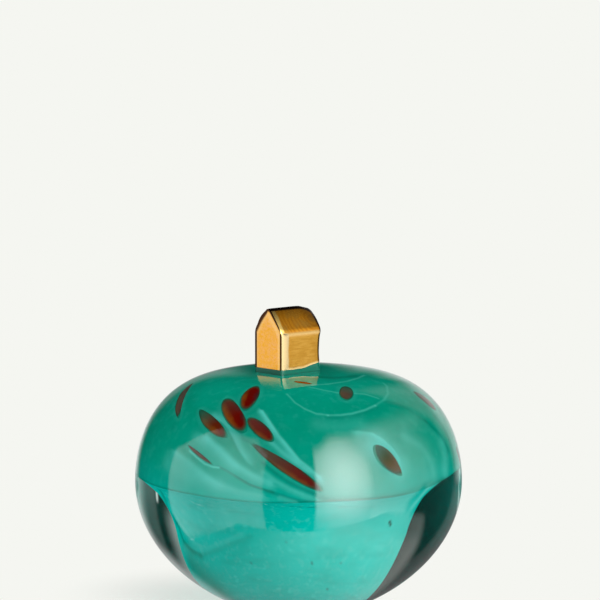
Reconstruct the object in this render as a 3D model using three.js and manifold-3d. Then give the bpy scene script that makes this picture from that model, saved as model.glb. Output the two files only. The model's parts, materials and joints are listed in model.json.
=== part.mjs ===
// Glass sculpture: a solid, flattened ball of cased glass with a small gold house on top.
// Millimetres, +Z up, the origin at the middle of the ground foot. The front is at -Y.
//
// From the inside out: a light teal heart with a stem that runs down to the foot, a deep teal
// overlay over the heart's dome, red-brown chips pressed into the overlay, and a clear casing
// that is thin over the dome and thick under the waist. The house stands on a clear bit of glass.

import * as THREE from 'three';
import { mergeVertices } from 'three/addons/utils/BufferGeometryUtils.js';
import Module from 'manifold-3d';

// The ball's outside: an upper half and a lower half that meet at the waist.
const ballRadius = 47.5;
const domeHeight = 32.4; // from the waist to the top
const domeFullness = 3.8; // 2 is an ellipse, more is a flatter top with a rounder shoulder
const bellyDepth = 40.2; // from the waist to where the lower half would close
const bellyFullness = 1.75;
const footRadius = 18; // flat ground face that the ball stands on
const footChamfer = 0.5;

// The layers of glass, and the gap that keeps neighbouring solids apart.
const gap = 0.3;
const casingSkin = 1.5; // clear glass over the overlay
const overlayThickness = 1.2;
const hemHeight = 1.05; // the overlay's lower edge, above the waist

// The overlay's edge isn't level: it waves, and it climbs on both sides of the front. Around and
// spread are in degrees round from the front.
const hemWave = 0.15;
const hemWaves = 7;
const hemClimbs = [
  { rise: 3.2, around: 82, spread: 32 },
  { rise: 1.05, around: -72, spread: 30 },
];

// The heart under the waist: a cove turns in from the hem to a stem that tapers to the foot.
const coveDepth = 10;
const stemTopRadius = 21.5;
const stemFootRadius = 10;
const stemTaper = 1.0;
const stemLean = 2.5; // how far to the left the stem's foot stands

// The house and the clear bit that it stands on.
const houseWidth = 13; // across the gable
const houseLength = 14.7; // along the ridge
const wallHeight = 10.5;
const roofPitch = 50; // degrees
const houseTurn = 36; // degrees, the ridge's direction from +X
const houseSide = -3.25; // the house stands a little left of the middle and to the front
const houseBack = -3.5;
const cornerRound = 1.3; // eaves and ridge
const gableRound = 2.4; // how far along the house its sides turn in to each gable end
const gableInset = 0.6; // how much smaller all round the gable ends are
const houseFootHeight = 1.1;
const houseFootMargin = 0.15; // how far the clear bit stands in from the walls

// The chips: degrees round from the front, the share of the way down from the top to the waist,
// the long axis in degrees from straight downhill towards the right, length, width, and 0.5 for
// an oval or more for a leaf with pointed ends.
const chipThickness = 0.9;
const chips = [
  { around: -70, down: 0.56, turn: 50, length: 18.5, width: 3.0, point: 0.8 },
  { around: -38.5, down: 0.65, turn: 60, length: 15, width: 3.4, point: 0.8 },
  { around: -30, down: 0.59, turn: 44, length: 15.2, width: 5.2, point: 0.5 },
  { around: -26.5, down: 0.47, turn: 10, length: 12.6, width: 5.2, point: 0.75 },
  { around: -15.7, down: 0.66, turn: 49, length: 10.6, width: 4.0, point: 0.6 },
  { around: -4.6, down: 0.83, turn: 56, length: 22, width: 3.5, point: 0.7 },
  { around: -39, down: 0.80, turn: 65, length: 10.5, width: 1.1, point: 0.9 },
  { around: 3.3, down: 0.31, turn: 61, length: 5.4, width: 1.9, point: 0.8 },
  { around: 28, down: 0.44, turn: -29, length: 8.2, width: 4.0, point: 0.5 },
  { around: 35.3, down: 0.81, turn: 39, length: 11.5, width: 4.5, point: 0.75 },
  { around: 77.5, down: 0.59, turn: 16, length: 8.6, width: 3.6, point: 0.8 },
  { around: 84, down: 0.88, turn: 20, length: 6, width: 2.4, point: 0.7 },
  { around: 104, down: 0.69, turn: 35, length: 12, width: 4.4, point: 0.6 },
  { around: 128, down: 0.45, turn: 5, length: 9, width: 4.2, point: 0.5 },
  { around: 133, down: 0.78, turn: -30, length: 14, width: 3.2, point: 0.8 },
  { around: 156, down: 0.61, turn: 48, length: 11, width: 4.6, point: 0.6 },
  { around: 174, down: 0.84, turn: 60, length: 17, width: 3.2, point: 0.75 },
  { around: 186, down: 0.49, turn: -20, length: 8, width: 4.4, point: 0.5 },
  { around: 203, down: 0.69, turn: 25, length: 12, width: 3.8, point: 0.7 },
  { around: 226, down: 0.55, turn: -40, length: 9.5, width: 4.8, point: 0.55 },
  { around: 244, down: 0.82, turn: 50, length: 13, width: 3.4, point: 0.8 },
  { around: 262, down: 0.67, turn: -5, length: 8, width: 3.6, point: 0.6 },
];

// How finely the round forms are divided.
const aroundSteps = 48;
const domeSteps = 9;
const bellySteps = 8;
const coveSteps = 4;
const stemSteps = 4;
const chipRings = 6;
const chipSides = 6;
const cornerSteps = 3;
const searchSteps = 40; // halvings that find a height on the outline
const walkSteps = 400; // stations that measure the way down the dome
const shoulderCrowding = 1.25; // over 1 puts more of the dome's points near its top
const mergeDistance = 1e-4;

// Places that follow from the sizes.
const footShare = (footRadius / ballRadius) ** bellyFullness;
const waistHeight = bellyDepth * Math.sqrt(1 - footShare);
const ballTop = waistHeight + domeHeight;
const hemLevel = waistHeight + hemHeight;
const overlayDepth = casingSkin + gap;
const heartDepth = overlayDepth + overlayThickness + gap;
const chipDepth = casingSkin + gap / 2;

const glassLook = { roughness: 0.05, metalness: 0 };
const materials = {
  clear: new THREE.MeshStandardMaterial({ color: 0xdfe9e6, ...glassLook }),
  heart: new THREE.MeshStandardMaterial({ color: 0x45beb0, ...glassLook }),
  overlay: new THREE.MeshStandardMaterial({ color: 0x028872, ...glassLook }),
  chip: new THREE.MeshStandardMaterial({ color: 0x55180a, ...glassLook }),
  gold: new THREE.MeshStandardMaterial({ color: 0xd49a3c, roughness: 0.25, metalness: 1 }),
};

const wasm = await Module();
wasm.setup();

// Solids and meshes

function toSolid(geometry) {
  const bare = geometry.clone();
  bare.deleteAttribute('normal');
  bare.deleteAttribute('uv');
  const merged = mergeVertices(bare, mergeDistance);
  const vertProperties = new Float32Array(merged.attributes.position.array);
  const triVerts = new Uint32Array(merged.index.array);
  return new wasm.Manifold(new wasm.Mesh({ numProp: 3, vertProperties, triVerts }));
}

function toGeometry(solid) {
  const mesh = solid.getMesh();
  const geometry = new THREE.BufferGeometry();
  geometry.setAttribute('position', new THREE.BufferAttribute(mesh.vertProperties, 3));
  geometry.setIndex(new THREE.BufferAttribute(mesh.triVerts, 1));
  geometry.computeVertexNormals();
  return geometry;
}

function piece(name, geometry, material) {
  const mesh = new THREE.Mesh(geometry, material);
  mesh.name = name;
  return mesh;
}

function fromRings(rings) {
  // A closed skin over rings of points. A ring of one point is a pole.
  const positions = [];
  const starts = [];
  for (const ring of rings) {
    starts.push(positions.length / 3);
    for (const point of ring) positions.push(point.x, point.y, point.z);
  }
  const index = [];
  for (let row = 0; row + 1 < rings.length; row++) {
    const upper = rings[row].length;
    const lower = rings[row + 1].length;
    const sides = Math.max(upper, lower);
    for (let side = 0; side < sides; side++) {
      const next = (side + 1) % sides;
      const a = starts[row] + (upper > 1 ? side : 0);
      const b = starts[row] + (upper > 1 ? next : 0);
      const c = starts[row + 1] + (lower > 1 ? side : 0);
      const d = starts[row + 1] + (lower > 1 ? next : 0);
      if (upper > 1) index.push(a, c, b);
      if (lower > 1) index.push(b, c, d);
    }
  }
  const geometry = new THREE.BufferGeometry();
  geometry.setAttribute('position', new THREE.Float32BufferAttribute(positions, 3));
  geometry.setIndex(index);
  geometry.computeVertexNormals();
  return geometry;
}

// The ball's outline, as a radius and a height, moved inwards by a depth of glass

function outward(radius, height) {
  // The unit normal of the ball's outside at a point of its outline.
  const above = height >= waistHeight;
  const fullness = above ? domeFullness : bellyFullness;
  const reach = above ? domeHeight : bellyDepth;
  const acrossPart = (fullness / ballRadius) * (radius / ballRadius) ** (fullness - 1);
  const upPart = (2 * (height - waistHeight)) / reach ** 2;
  return new THREE.Vector2(acrossPart, upPart).normalize();
}

function domeOutline(turn, depth) {
  // turn goes from 0 at the top to 90 degrees at the waist.
  const radius = ballRadius * Math.sin(turn) ** (2 / domeFullness);
  const height = waistHeight + domeHeight * Math.cos(turn);
  const normal = outward(radius, height);
  return new THREE.Vector2(radius - depth * normal.x, height - depth * normal.y);
}

function domeTurnAt(height, depth) {
  // The turn at which the outline at this depth comes down to this height.
  let low = 0;
  let high = Math.PI / 2;
  for (let step = 0; step < searchSteps; step++) {
    const middle = (low + high) / 2;
    if (domeOutline(middle, depth).y > height) low = middle;
    else high = middle;
  }
  return low;
}

function domeArc(depth, lowest) {
  // Points from the axis down the dome to the height called lowest.
  const last = domeTurnAt(lowest, depth);
  const points = [new THREE.Vector2(0, ballTop - depth)];
  for (let step = 1; step <= domeSteps; step++) {
    points.push(domeOutline(last * (step / domeSteps) ** shoulderCrowding, depth));
  }
  return points;
}

function hemAt(angle) {
  // The height of the hem, angle in degrees round from the front.
  let height = hemLevel + hemWave * Math.sin(THREE.MathUtils.degToRad(angle) * hemWaves);
  for (const climb of hemClimbs) {
    const away = ((((angle - climb.around) % 360) + 540) % 360) - 180;
    height += climb.rise * Math.exp(-((away / climb.spread) ** 2));
  }
  return height;
}

function revolve(outlineAt) {
  // A closed solid round the axis. outlineAt gives the outline at an angle in degrees, from the
  // top of the axis round the outside to the axis again. A point's z moves its ring along X.
  const outlines = [];
  for (let step = 0; step < aroundSteps; step++) outlines.push(outlineAt((step / aroundSteps) * 360));
  const rings = outlines[0].map((first, row) => {
    if (first.x === 0) return [new THREE.Vector3(0, 0, first.y)];
    return outlines.map((outline, step) => {
      const point = outline[row];
      const turn = (step / aroundSteps) * Math.PI * 2;
      const along = point.x * Math.sin(turn) + (point.z ?? 0);
      return new THREE.Vector3(along, -point.x * Math.cos(turn), point.y);
    });
  });
  return fromRings(rings);
}

// The heart's outline under the hem, grown by a clearance

function leanAt(height) {
  const share = THREE.MathUtils.clamp(1 - height / hemLevel, 0, 1);
  return -stemLean * Math.sin((share * Math.PI) / 2);
}

function stemOutline(clearance, hem) {
  const shoulderRadius = domeOutline(domeTurnAt(hem, heartDepth), heartDepth).x;
  const coveWidth = shoulderRadius - stemTopRadius;
  const stemTop = hemLevel - coveDepth;
  const points = [];
  for (let step = 1; step <= coveSteps; step++) {
    const turn = (step / coveSteps) * (Math.PI / 2);
    const radius = shoulderRadius - coveWidth * Math.sin(turn);
    const height = hem - (hem - stemTop) * (1 - Math.cos(turn));
    const outwards = clearance * Math.sin(turn);
    const downwards = clearance * Math.cos(turn);
    points.push(new THREE.Vector3(radius + outwards, height - downwards, leanAt(height)));
  }
  for (let step = 1; step <= stemSteps; step++) {
    const share = step / stemSteps;
    const radius = stemTopRadius - (stemTopRadius - stemFootRadius) * share ** stemTaper;
    const height = stemTop * (1 - share);
    points.push(new THREE.Vector3(radius + clearance, height, leanAt(height)));
  }
  return points;
}

function makeHeart() {
  return revolve((angle) => {
    const hem = hemAt(angle);
    return [...domeArc(heartDepth, hem), ...stemOutline(0, hem), new THREE.Vector2(0, 0)];
  });
}

function makeOverlay() {
  return revolve((angle) => {
    const outside = domeArc(overlayDepth, hemAt(angle));
    const inside = domeArc(overlayDepth + overlayThickness, hemAt(angle));
    return [...outside, ...inside.reverse()];
  });
}

function ballOutline(grow) {
  // The whole outside, from the top of the axis to the edge of the foot.
  const points = domeArc(-grow, waistHeight);
  const lastTurn = Math.asin((waistHeight - footChamfer) / bellyDepth);
  for (let step = 1; step <= bellySteps; step++) {
    const turn = lastTurn * (step / bellySteps);
    const height = waistHeight - bellyDepth * Math.sin(turn);
    const radius = ballRadius * Math.cos(turn) ** (2 / bellyFullness);
    const normal = outward(radius, height);
    points.push(new THREE.Vector2(radius + grow * normal.x, height + grow * normal.y));
  }
  points.push(new THREE.Vector2(footRadius - footChamfer + grow, -grow));
  return points;
}

function makeCasing() {
  return revolve((angle) => {
    const hem = hemAt(angle);
    const inside = [...domeArc(casingSkin, hem - gap), ...stemOutline(gap, hem)];
    return [...ballOutline(0), ...inside.reverse()];
  });
}

// The chips lie along the dome, half in the overlay and half in the casing

const domeWalk = measureDome();

function measureDome() {
  // How far along the dome each turn lies from the top, down to the waist.
  const stations = [{ turn: 0, walked: 0 }];
  let before = domeOutline(0, 0);
  for (let step = 1; step <= walkSteps; step++) {
    const turn = (step / walkSteps) * (Math.PI / 2);
    const point = domeOutline(turn, 0);
    const walked = stations[step - 1].walked + point.distanceTo(before);
    stations.push({ turn, walked });
    before = point;
  }
  return stations;
}

function turnAfter(walked) {
  const at = domeWalk.findIndex((station) => station.walked >= walked);
  if (at === 0) return 0;
  if (at < 0) return Math.PI / 2;
  const share = (walked - domeWalk[at - 1].walked) / (domeWalk[at].walked - domeWalk[at - 1].walked);
  return domeWalk[at - 1].turn + share * (domeWalk[at].turn - domeWalk[at - 1].turn);
}

function onDome(around, walked, depth) {
  const point = domeOutline(turnAfter(walked), depth);
  return new THREE.Vector3(point.x * Math.sin(around), -point.x * Math.cos(around), point.y);
}

function makeChip(chip, grow) {
  // Rings across the long axis, each an ellipse. Every point is laid along the curved dome.
  const turn = THREE.MathUtils.degToRad(chip.turn);
  const middle = THREE.MathUtils.degToRad(chip.around);
  const down = chip.down * domeWalk[domeWalk.length - 1].walked;
  const spread = domeOutline(turnAfter(down), chipDepth).x;
  const halfLength = chip.length / 2 + grow;
  const place = (along, across, rise) => {
    const right = along * Math.sin(turn) + across * Math.cos(turn);
    const downhill = along * Math.cos(turn) - across * Math.sin(turn);
    return onDome(middle + right / spread, down + downhill, chipDepth - rise);
  };
  const rings = [[place(-halfLength, 0, 0)]];
  for (let row = 1; row < chipRings; row++) {
    const slant = -Math.cos((row / chipRings) * Math.PI);
    const share = (1 - slant * slant) ** chip.point;
    const ring = [];
    for (let side = 0; side < chipSides; side++) {
      const angle = (side / chipSides) * Math.PI * 2;
      const across = Math.cos(angle) * ((chip.width / 2) * share + grow);
      const rise = -Math.sin(angle) * ((chipThickness / 2) * share + grow);
      ring.push(place(slant * halfLength, across, rise));
    }
    rings.push(ring);
  }
  rings.push([place(halfLength, 0, 0)]);
  return fromRings(rings);
}

// The house: a gabled outline run along the ridge, rounded above its flat base

function roundedOutline(corners, round) {
  // A closed shape whose corners are quadratic arcs that start this far from each corner.
  const shape = new THREE.Shape();
  corners.forEach((corner, at) => {
    const before = corners[(at + corners.length - 1) % corners.length];
    const after = corners[(at + 1) % corners.length];
    const start = corner.clone().add(before.clone().sub(corner).setLength(round));
    const end = corner.clone().add(after.clone().sub(corner).setLength(round));
    if (at === 0) shape.moveTo(start.x, start.y);
    else shape.lineTo(start.x, start.y);
    shape.quadraticCurveTo(corner.x, corner.y, end.x, end.y);
  });
  shape.closePath();
  return shape;
}

function gableCorners(inset, below) {
  // The gable end as seen along the ridge, drawn in by the inset and run on below the base.
  const half = houseWidth / 2 - inset;
  const pitch = THREE.MathUtils.degToRad(roofPitch);
  const eaves = wallHeight - inset * Math.tan(pitch / 2);
  return [
    new THREE.Vector2(-half, -below),
    new THREE.Vector2(half, -below),
    new THREE.Vector2(half, eaves),
    new THREE.Vector2(0, eaves + half * Math.tan(pitch)),
    new THREE.Vector2(-half, eaves),
  ];
}

function makeHouse() {
  const shape = roundedOutline(gableCorners(gableInset, 2 * cornerRound), cornerRound);
  const geometry = new THREE.ExtrudeGeometry(shape, {
    depth: houseLength - 2 * gableRound,
    bevelEnabled: true,
    bevelThickness: gableRound,
    bevelSize: gableInset,
    bevelSegments: cornerSteps,
    curveSegments: cornerSteps,
  });
  geometry.translate(0, 0, gableRound - houseLength / 2);
  geometry.rotateX(Math.PI / 2);
  geometry.rotateZ(Math.PI / 2);
  return toGeometry(toSolid(geometry).trimByPlane([0, 0, 1], 0));
}

function makeHouseFoot() {
  // A slab under the house, cut to sit on the dome.
  const halfLength = houseLength / 2 - houseFootMargin;
  const halfWidth = houseWidth / 2 - houseFootMargin;
  const shape = roundedOutline([
    new THREE.Vector2(-halfLength, -halfWidth),
    new THREE.Vector2(halfLength, -halfWidth),
    new THREE.Vector2(halfLength, halfWidth),
    new THREE.Vector2(-halfLength, halfWidth),
  ], cornerRound);
  const slab = new THREE.ExtrudeGeometry(shape, {
    depth: domeHeight / 2,
    bevelEnabled: false,
    curveSegments: cornerSteps,
  });
  slab.rotateZ(THREE.MathUtils.degToRad(houseTurn));
  slab.translate(houseSide, houseBack, ballTop + houseFootHeight - domeHeight / 2);
  const ball = toSolid(revolve(() => [...ballOutline(gap), new THREE.Vector2(0, -gap)]));
  return toGeometry(toSolid(slab).subtract(ball));
}

// The assembly

const sculpture = new THREE.Group();
sculpture.add(piece('teal_heart', makeHeart(), materials.heart));

let overlay = toSolid(makeOverlay());
let casing = toSolid(makeCasing());
chips.forEach((chip, at) => {
  const pocket = toSolid(makeChip(chip, gap));
  overlay = overlay.subtract(pocket);
  casing = casing.subtract(pocket);
  const name = `chip_${String(at + 1).padStart(2, '0')}`;
  sculpture.add(piece(name, makeChip(chip, 0), materials.chip));
});
sculpture.add(piece('teal_overlay', toGeometry(overlay), materials.overlay));
sculpture.add(piece('clear_casing', toGeometry(casing), materials.clear));

sculpture.add(piece('house_foot', makeHouseFoot(), materials.clear));

const house = piece('gold_house', makeHouse(), materials.gold);
house.rotation.z = THREE.MathUtils.degToRad(houseTurn);
house.position.set(houseSide, houseBack, ballTop + houseFootHeight + gap);
sculpture.add(house);

export default sculpture;
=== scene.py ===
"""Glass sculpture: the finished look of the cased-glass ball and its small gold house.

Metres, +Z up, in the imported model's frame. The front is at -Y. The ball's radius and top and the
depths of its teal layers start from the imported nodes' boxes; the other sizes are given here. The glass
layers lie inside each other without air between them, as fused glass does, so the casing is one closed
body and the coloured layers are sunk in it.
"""
import json
import math

import bmesh
import bpy
import numpy as np
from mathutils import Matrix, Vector, kdtree, noise

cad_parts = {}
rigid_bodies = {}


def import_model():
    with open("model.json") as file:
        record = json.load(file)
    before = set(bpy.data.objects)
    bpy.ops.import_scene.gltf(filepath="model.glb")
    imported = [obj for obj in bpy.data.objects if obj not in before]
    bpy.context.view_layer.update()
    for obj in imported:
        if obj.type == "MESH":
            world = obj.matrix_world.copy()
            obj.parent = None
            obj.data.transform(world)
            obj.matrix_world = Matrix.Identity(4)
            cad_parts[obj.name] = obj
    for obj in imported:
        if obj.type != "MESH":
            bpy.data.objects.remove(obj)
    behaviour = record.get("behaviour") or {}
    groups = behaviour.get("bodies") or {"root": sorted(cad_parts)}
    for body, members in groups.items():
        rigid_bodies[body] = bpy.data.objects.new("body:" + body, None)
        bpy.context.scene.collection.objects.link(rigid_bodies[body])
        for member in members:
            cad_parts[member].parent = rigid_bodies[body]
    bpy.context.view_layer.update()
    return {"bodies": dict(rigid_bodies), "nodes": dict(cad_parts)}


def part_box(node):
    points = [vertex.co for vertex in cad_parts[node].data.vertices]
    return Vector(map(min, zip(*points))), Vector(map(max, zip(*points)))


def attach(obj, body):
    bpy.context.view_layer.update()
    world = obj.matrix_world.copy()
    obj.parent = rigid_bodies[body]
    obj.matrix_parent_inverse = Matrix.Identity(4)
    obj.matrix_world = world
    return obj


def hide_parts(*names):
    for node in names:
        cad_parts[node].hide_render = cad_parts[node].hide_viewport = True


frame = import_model()

MM = 0.001
BODY = "root" if "root" in frame["bodies"] else next(iter(frame["bodies"]))

# The ball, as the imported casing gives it
casing_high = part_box("clear_casing")[1]
overlay_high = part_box("teal_overlay")[1]
heart_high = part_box("teal_heart")[1]
BALL_RADIUS = casing_high.x
BALL_TOP = casing_high.z
OVERLAY_DEPTH = BALL_TOP - overlay_high.z
HEART_DEPTH = BALL_TOP - heart_high.z

# The ball's outline: an upper and a lower half that meet at the waist
DOME_FULLNESS = 3.8
BELLY_FULLNESS = 1.75
BELLY_DEPTH = 40.2 * MM
FOOT_RADIUS = 18 * MM
FOOT_CHAMFER = 0.5 * MM
WAIST = BELLY_DEPTH * math.sqrt(1 - (FOOT_RADIUS / BALL_RADIUS) ** BELLY_FULLNESS)
DOME_HEIGHT = BALL_TOP - WAIST
OVERLAY_THICKNESS = 1.2 * MM

# The hem of the overlay waves and climbs: (rise, degrees round from the front, spread in degrees)
HEM = WAIST + 1.05 * MM
HEM_WAVE = 0.15 * MM
HEM_WAVES = 7
HEM_CLIMBS = [(3.2 * MM, 82, 32), (1.05 * MM, -72, 30)]

# The heart turns in under the hem to a stem that tapers and leans to the left
COVE_DEPTH = 10 * MM
STEM_TOP_RADIUS = 21.5 * MM
STEM_FOOT_RADIUS = 10 * MM
STEM_LEAN = 2.5 * MM

# Where the stem is fuller or leaner: degrees round from the front, more at its top, more at its foot
STEM_SWELLS = [(-90, 0.9 * MM, 2.4 * MM), (90, 0.1 * MM, -2.2 * MM)]
STEM_SWELL_SPREAD = 45
COVE_STRAIGHTNESS = 0.24
HEART_FOOT = 0.35 * MM

# The photograph's frame in its own pixels: the ball's width, and where the middle of its waist is
PHOTO_SIDE = 600
BALL_WIDTH_PX = 326.2
WAIST_ACROSS_PX = 298.5
WAIST_DOWN_PX = 479.3
CAMERA_ELEVATION = math.radians(9.5)
CAMERA_DISTANCE = 1.1
SENSOR = 36.0

# The house, cast a little out of true. Its ridge runs from the near gable to the rear
HOUSE_WIDTH = 12.0 * MM
HOUSE_LENGTH = 15.0 * MM
WALL_HEIGHT = 11.8 * MM
ROOF_PITCH = math.radians(51)
HOUSE_TURN = math.radians(40)
HOUSE_PLACE = Vector((-3.1 * MM, -3.5 * MM))
EAVE_ROUND = 1.5 * MM
GABLE_TURN_IN = 2.8 * MM
GABLE_INSET = 0.7 * MM
GABLE_BORDER = 0.15 * MM
REAR_TURN_IN = 1.1 * MM
REAR_INSET = 0.3 * MM
ROOF_TURN_IN = 0.1
SLOPE_BULGE = 0.1 * MM
REAR_SLOPE_BULGE = 0.45 * MM
SLOPE_STEPS = 5
GABLE_SKEW = 0.06
RIDGE_HEIGHT = WALL_HEIGHT + HOUSE_WIDTH / 2 * math.tan(ROOF_PITCH) - 1.0 * MM
RIDGE_DROOP = 1.7 * MM
DROOP_POWER = 4
REAR_LEAN = 1.1 * MM
REAR_HOLLOW = 0.6 * MM
EAVE_STEPS = 8
GABLE_STEPS = 10
WALL_ROWS = 12
STUB_SUNK = 1.2 * MM
STUB_MARGIN = 0.12 * MM
STUB_OVERLAP = 0.3 * MM
STUB_LENGTH = 0.985

# The gold's ragged lower edge over the top of the ball: noise cells to a metre, and heights
GOLD_LIFT = 1.2 * MM
GOLD_REAR_LIFT = 1.5 * MM
RAGGED_SCALE = 420
RAGGED_SIZE = 0.16 * MM
RAGGED_MORE_REAR = 0.3 * MM
RAGGED_FINE = 0.12 * MM

# How finely the round forms are divided
SMOOTH_UNDER = 40
HOUSE_SMOOTH_UNDER = 50
AXIS_RADIUS = 1e-7
AROUND = 288
DOME_ROWS = 72
BELLY_ROWS = 48
COVE_ROWS = 36
STEM_ROWS = 90
HEART_AROUND = 640
OVERLAY_AROUND = 840
OVERLAY_ROWS = 190
INSIDE_ROWS = 24
DOME_CROWDING = 1.5
OVERLAY_CROWDING = 1.15


# Node trees

class Nodes:
    """Short calls that add nodes to a tree and join them."""

    def __init__(self, tree):
        self.tree = tree
        tree.nodes.clear()

    def plug(self, socket, value):
        """Gives a socket a value, a socket's output or a node's first output."""
        if isinstance(value, bpy.types.Node):
            value = value.outputs[0]
        if isinstance(value, bpy.types.NodeSocket):
            self.tree.links.new(value, socket)
        elif value is not None:
            socket.default_value = value

    def add(self, kind, inputs=None, **settings):
        """A new node, its kind named without ShaderNode in front."""
        node = self.tree.nodes.new("ShaderNode" + kind)
        for name, value in settings.items():
            setattr(node, name, value)
        for name, value in (inputs or {}).items():
            self.plug(node.inputs[name], value)
        return node

    def math(self, operation, a, b=None, clamp=False):
        return self.add("Math", {0: a, 1: b}, operation=operation, use_clamp=clamp).outputs[0]

    def vector(self, operation, a, b):
        node = self.add("VectorMath", {0: a, 1: b}, operation=operation)
        return node.outputs["Value" if operation == "DOT_PRODUCT" else "Vector"]

    def step(self, value, low, high):
        """0 below low, 1 above high and smooth between them. low may be the greater."""
        flip = low > high
        inputs = {"Value": value, "From Min": min(low, high), "From Max": max(low, high),
                  "To Min": 1.0 if flip else 0.0, "To Max": 0.0 if flip else 1.0}
        return self.add("MapRange", inputs, interpolation_type="SMOOTHSTEP").outputs["Result"]

    def length(self, vector):
        return self.add("VectorMath", {0: vector}, operation="LENGTH").outputs["Value"]

    def scaled(self, vector, scale):
        inputs = {0: vector, "Scale": scale}
        return self.add("VectorMath", inputs, operation="SCALE").outputs["Vector"]

    def parts(self, vector):
        return self.add("SeparateXYZ", {0: vector}).outputs

    def plus(self, a, b):
        return self.math("ADD", a, b)

    def less(self, a, b):
        return self.math("SUBTRACT", a, b)

    def product(self, first, *others):
        for other in others:
            first = self.math("MULTIPLY", first, other)
        return first

    def field(self, value, low, high, soft):
        """1 between low and high, with soft edges."""
        starts = self.step(value, low - soft, low + soft)
        return self.product(starts, self.step(value, high + soft, high - soft))

    def hump(self, value, middle, spread):
        away = self.math("DIVIDE", self.less(value, middle), spread)
        return self.math("EXPONENT", self.product(away, away, -1.0))

    def mix(self, share, a, b, blend="MIX"):
        inputs = {"Factor": share, 6: a, 7: b}
        return self.add("Mix", inputs, data_type="RGBA", blend_type=blend).outputs[2]

    def noise(self, scale, detail=3.0, roughness=0.55, distortion=0.0, at=None):
        place = at or self.add("TexCoord").outputs["Object"]
        inputs = {"Vector": place, "Scale": scale, "Detail": detail,
                  "Roughness": roughness, "Distortion": distortion}
        return self.add("TexNoise", inputs).outputs["Fac"]

    def ripple(self, scale, size, **settings):
        """Noise that swings to both sides of nothing."""
        return self.product(self.less(self.noise(scale, **settings), 0.5), size)

    def attribute(self, name):
        return self.add("Attribute", attribute_name=name).outputs["Fac"]

    def ramp(self, value, stops):
        """stops are (place, colour) from low to high."""
        node = self.add("ValToRGB", {"Fac": value})
        elements = node.color_ramp.elements
        while len(elements) < len(stops):
            elements.new(0.5)
        for element, (place, colour) in zip(elements, stops):
            element.position = place
            element.color = colour
        return node.outputs["Color"]


def colour(red, green, blue):
    """A colour given as it shows on the screen, 0 to 255, as the shader wants it."""
    def linear(value):
        share = value / 255
        return share / 12.92 if share <= 0.04045 else ((share + 0.055) / 1.055) ** 2.4
    return (linear(red), linear(green), linear(blue), 1.0)


def new_material(name):
    material = bpy.data.materials.new(name)
    material.use_nodes = True
    return material, Nodes(material.node_tree)


def principled(nodes, **inputs):
    """Gives a material its one shader. Returns the material's output node."""
    named = {key.replace("_", " "): value for key, value in inputs.items()}
    shader = nodes.add("BsdfPrincipled", named)
    return nodes.add("OutputMaterial", {"Surface": shader})


# Colours of the coloured glass, among them painted shade and painted sheen. It looks deeper through the
# clear glass over it

HEART_DEEP = (0.0, 0.69, 0.6, 1)
HEART_PALE = (0.0, 0.77, 0.69, 1)
HEART_GRAIN = (0.03, 0.8, 0.72, 1)
HEART_SHADE = (0.0, 0.52, 0.45, 1)
# Drawn lines, and the painted shade at the ball's lower left
HEART_LINE_AND_SHADE = (0.0, 0.4, 0.32, 1)
HEART_SEED = (0.0, 0.12, 0.09, 1)
# Pale speckle of the grain, and painted sheen
HEART_SPECKLE_AND_SHEEN = (0.2, 0.85, 0.8, 1)
OVERLAY_TOP = (0.0, 0.54, 0.38, 1)
OVERLAY_DEEP = (0.0, 0.43, 0.285, 1)
OVERLAY_MID = (0.0, 0.51, 0.36, 1)
OVERLAY_LOW = (0.0, 0.62, 0.5, 1)
VEIL_PALE = (0.12, 0.82, 0.71, 1)
VEIL_DEEP = (0.0, 0.31, 0.22, 1)
CHIP_WARM = (0.36, 0.085, 0.008, 1)
CHIP_CORE = (0.21, 0.004, 0.001, 1)
CHIP_COOL = (0.085, 0.018, 0.022, 1)
CHIP_OLIVE = (0.13, 0.09, 0.015, 1)
CHIP_GREY = (0.12, 0.125, 0.095, 1)
CHIP_SUNK = (0.02, 0.16, 0.1, 1)
CHIP_RIM = (0.02, 0.11, 0.06, 1)
# Painted shade: the dark teal that shows through the foot under the house
FOOT_SHADED_TEAL = (0.0, 0.11, 0.07, 1)
CLEAR_TINT = (0.62, 0.9, 0.82, 1)

# Colours of the gold, and of the highlights and dark reflections painted on it
GOLD_DEEP = (0.3, 0.145, 0.016, 1)
GOLD_MID = (0.36, 0.19, 0.028, 1)
GOLD_PALE = (0.42, 0.235, 0.05, 1)
GOLD_AMBER = (0.74, 0.34, 0.02, 1)
GOLD_ROSE = (0.76, 0.37, 0.06, 1)
GOLD_BLUSH = (0.76, 0.38, 0.13, 1)
# Painted highlight colour, also the pale line along the gold's ragged foot
GOLD_CREAM = (0.85, 0.65, 0.33, 1)
# Painted dark reflection along the gold's edges
GOLD_DARK_REFLECTION = (0.045, 0.016, 0.006, 1)
ROOF_DEEP = (0.42, 0.16, 0.008, 1)
ROOF_PALE = (0.5, 0.21, 0.012, 1)
# Painted light, added toward the ridge
ROOF_RIDGE_LIGHT = (0.26, 0.1, 0.0, 1)
# Painted highlight on the roof's verge
ROOF_VERGE_HIGHLIGHT = (0.8, 0.55, 0.16, 1)

# The glass: its noises are in cells to a metre
GLASS_IOR = 1.5
CLEAR_DENSITY = 10.0
INNER_ROUGHNESS = 0.6
HEART_DRAWN_STRETCH = (0.35, 0.35, 1.6)
HEART_SHADE_ROUND = (5, 40)
HEART_SHADE_HEIGHTS = (HEM - 14 * MM, HEM - 2 * MM)

# The gold: its noises are in cells to a millimetre, and its widths are in millimetres
GOLD_BRUSH_STRETCH = (0.3, 0.3, 2.4)
# The painted highlight by the gable's corner: its width in mm and its levels at shares of it
CORNER_BAND = 2.5
BAND_LEVELS = ((0.2, 0.12), (0.4, 0.24), (0.6, 0.36), (0.85, 0.42))
PAST_CORNER = (1.8, 3.0)


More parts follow.
